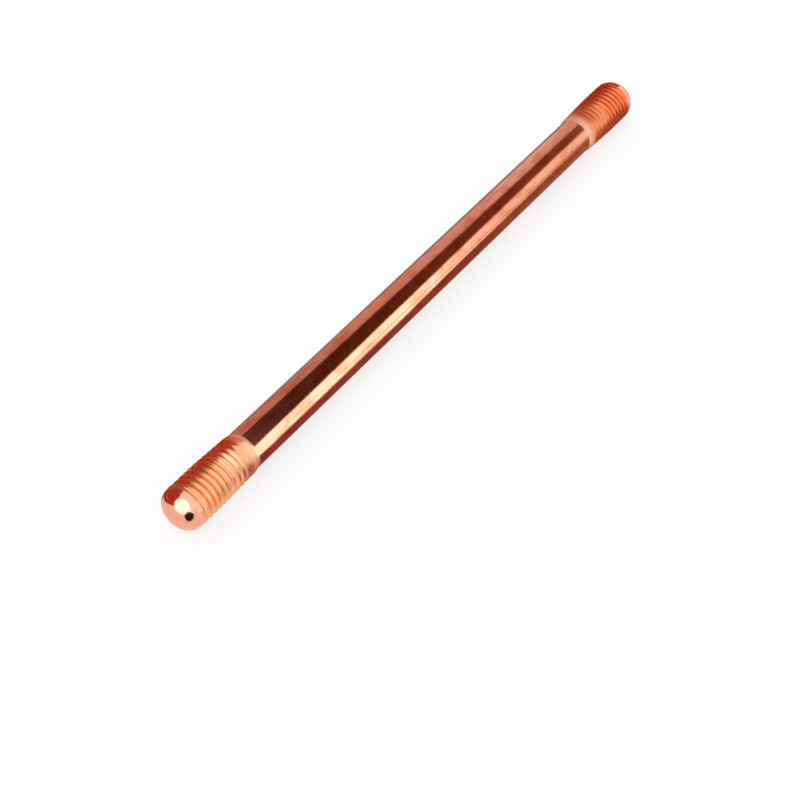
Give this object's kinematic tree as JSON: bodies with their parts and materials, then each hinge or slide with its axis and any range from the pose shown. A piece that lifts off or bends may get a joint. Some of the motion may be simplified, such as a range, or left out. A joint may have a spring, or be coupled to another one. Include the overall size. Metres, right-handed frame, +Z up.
{
  "type": "earth rod",
  "caption": "Round copper earth rod with a rolled right-hand screw thread and a rounded tip at each end, driven into the ground to earth an electrical system.",
  "frame": {"origin": "middle of the rod, on its axis", "axes": "+X along the rod towards the end that is uppermost in use, +Z up as the rod lies on a bench, +Y to complete a right-handed frame"},
  "size_m": [0.276, 0.0158, 0.0158],
  "materials": {
    "copper": "polished"
  },
  "bodies": {
    "root": {"earth_rod": "copper"}
  },
  "joints": []
}
